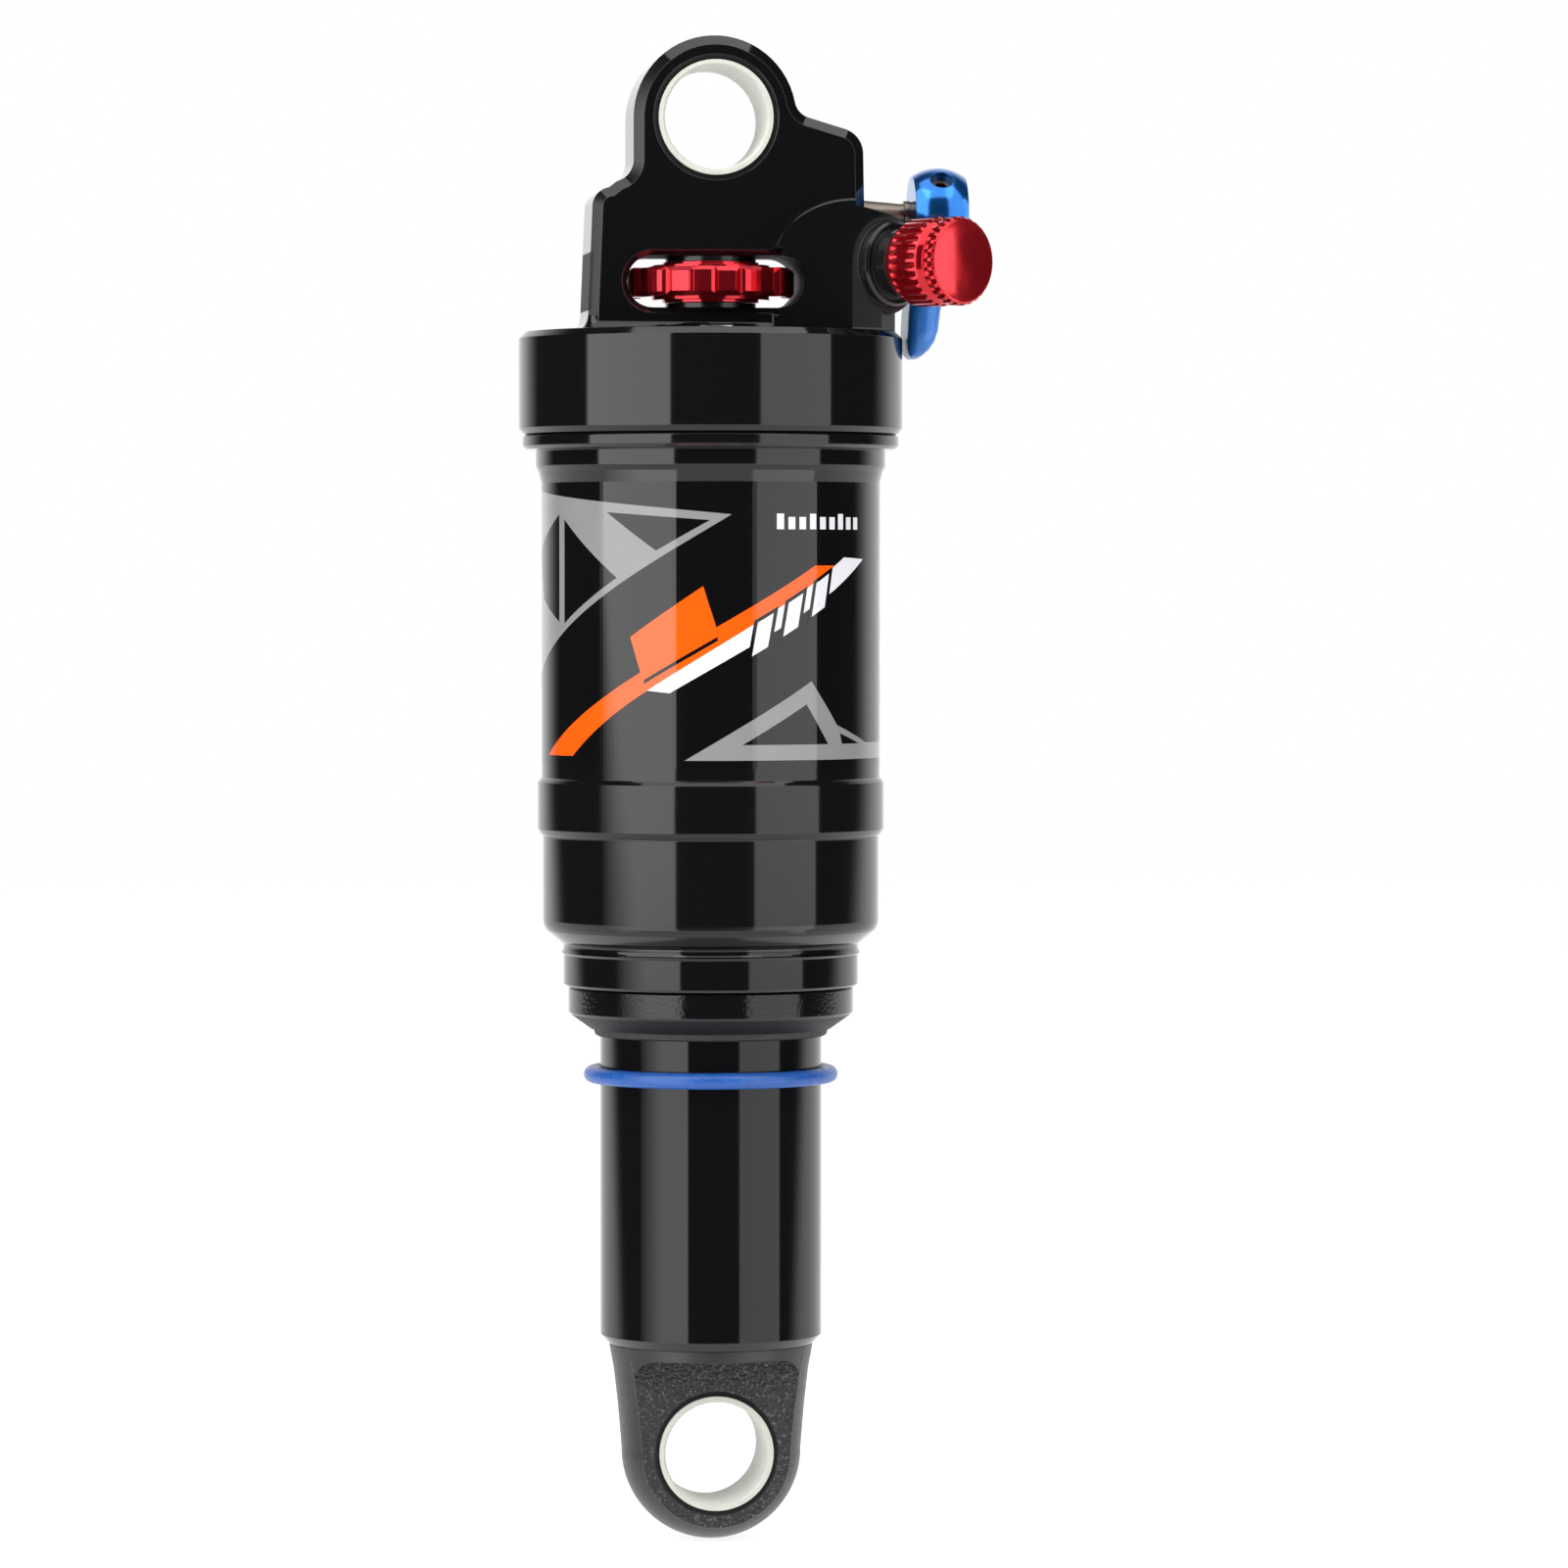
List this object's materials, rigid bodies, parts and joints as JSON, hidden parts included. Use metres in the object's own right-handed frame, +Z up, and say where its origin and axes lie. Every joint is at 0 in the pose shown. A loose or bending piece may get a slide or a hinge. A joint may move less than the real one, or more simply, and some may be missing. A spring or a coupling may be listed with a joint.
{
  "type": "bicycle rear shock",
  "caption": "Air-sprung bicycle rear shock with rebound dial, lockout lever, capped air valve and a travel ring.",
  "frame": {"origin": "centre of the upper eye's bore", "axes": "+Z up along the shock, +Y along the eye bores, +X towards the air valve and the lockout lever"},
  "size_m": [0.0565, 0.0485, 0.1862],
  "materials": {
    "anodised_black": "gloss black anodised",
    "eyelet_black": "black, coarse-grained flats",
    "bushing_ivory": "ivory polymer bearing",
    "anodised_red": "bright red anodised",
    "anodised_blue": "bright blue anodised",
    "ring_blue": "blue rubber",
    "rubber": "nitrile rubber",
    "elastomer": "grey elastomer",
    "valve_black": "black oxide",
    "washer_black": "black acetal",
    "steel": "ground steel",
    "dark_steel": "black oxide",
    "bronze_steel": "bronze-grey plated",
    "brass": "turned",
    "aluminium": "hard anodised grey",
    "bearing_polymer": "bronze-filled PTFE"
  },
  "bodies": {
    "head_and_can": {"head": "anodised_black", "upper_bushing": "bushing_ivory", "air_can": "anodised_black", "can_oring": "rubber", "seal_head": "anodised_black", "seal_head_oring": "rubber", "body_seal": "rubber", "wiper_seal": "rubber", "top_out_bumper": "rubber", "bottom_out_bumper": "elastomer", "damper_shaft": "steel", "damper_piston": "brass", "piston_band": "bearing_polymer", "compression_shims": "steel", "rebound_shims": "steel", "piston_nut": "steel", "valve_body": "valve_black", "valve_gasket": "rubber", "valve_core": "brass", "spindle_bush": "anodised_black", "dial_washers": "washer_black", "detent_spring": "steel", "detent_ball": "steel"},
    "air_seals": {"air_seal": "rubber", "glide_ring": "bearing_polymer"},
    "lower_damper": {"air_piston": "aluminium", "shaft_seal": "rubber", "shaft_bushing": "bearing_polymer", "damper_body": "anodised_black", "lower_eyelet": "eyelet_black", "eyelet_oring": "rubber", "charge_screw": "steel", "lower_bushing": "bushing_ivory"},
    "travel_ring": {"travel_ring": "ring_blue"},
    "floating_piston": {"floating_piston": "aluminium", "ifp_oring": "rubber"},
    "rebound_dial": {"rebound_dial": "anodised_red"},
    "rebound_tube": {"rebound_tube": "brass"},
    "lockout_lever": {"lockout_lever": "anodised_blue", "lever_screw": "dark_steel", "lockout_spindle": "bronze_steel", "spindle_oring": "rubber"},
    "lockout_rod": {"lockout_rod": "steel"},
    "cap_washer": {"cap_washer": "rubber"},
    "valve_cap": {"valve_cap": "anodised_red"},
    "valve_pin": {"valve_pin": "brass"}
  },
  "joints": [
    {"name": "stroke", "type": "slide", "parent": "head_and_can", "child": "air_seals", "axis": [0, 0, 1], "range_m": [0, 0.035], "stiffness_N_per_m": 6000, "springref_m": -0.002},
    {"name": "swivel", "type": "hinge", "parent": "air_seals", "child": "lower_damper", "pos_m": [0, 0, -0.1], "axis": [0, 0, 1], "continuous": true},
    {"name": "travel_ring_slide", "type": "slide", "parent": "lower_damper", "child": "travel_ring", "axis": [0, 0, 1], "range_m": [-0.032, 0]},
    {"name": "floating_piston_slide", "type": "slide", "parent": "lower_damper", "child": "floating_piston", "axis": [0, 0, 1], "range_m": [-0.0062, 0]},
    {"name": "rebound_dial_turn", "type": "hinge", "parent": "head_and_can", "child": "rebound_dial", "pos_m": [0, 0, -0.0202], "axis": [0, 0, 1], "range_deg": [-180, 180]},
    {"name": "rebound_tube_slide", "type": "slide", "parent": "rebound_dial", "child": "rebound_tube", "axis": [0, 0, 1], "range_m": [-0.000374, 0.000374]},
    {"name": "lockout_turn", "type": "hinge", "parent": "head_and_can", "child": "lockout_lever", "pos_m": [0.0284, 0, -0.0114], "axis": [1, 0, 0], "range_deg": [0, 90]},
    {"name": "lockout_rod_slide", "type": "slide", "parent": "head_and_can", "child": "lockout_rod", "axis": [0, 0, 1], "range_m": [-0.000899, 0]},
    {"name": "cap_unscrew", "type": "slide", "parent": "head_and_can", "child": "cap_washer", "axis": [0.6, -0.8, 0], "range_m": [0, 0.00793]},
    {"name": "cap_turn", "type": "hinge", "parent": "cap_washer", "child": "valve_cap", "pos_m": [0.0205, -0.011, -0.0182], "axis": [0.6, -0.8, 0], "range_deg": [0, 3600]},
    {"name": "valve_pin_press", "type": "slide", "parent": "head_and_can", "child": "valve_pin", "axis": [-0.6, 0.8, 0], "range_m": [0, 0.001], "stiffness_N_per_m": 800, "springref_m": -0.0005}
  ],
  "couplings": [
    {"joint": "travel_ring_slide", "follows": "stroke", "ratio": -0.9},
    {"joint": "floating_piston_slide", "follows": "stroke", "ratio": -0.1736},
    {"joint": "rebound_dial_turn", "follows": "rebound_tube_slide", "rad_per_m": 8377.6},
    {"joint": "lockout_turn", "follows": "lockout_rod_slide", "rad_per_m": -1745.3},
    {"joint": "cap_turn", "follows": "cap_unscrew", "rad_per_m": 7915.8}
  ]
}
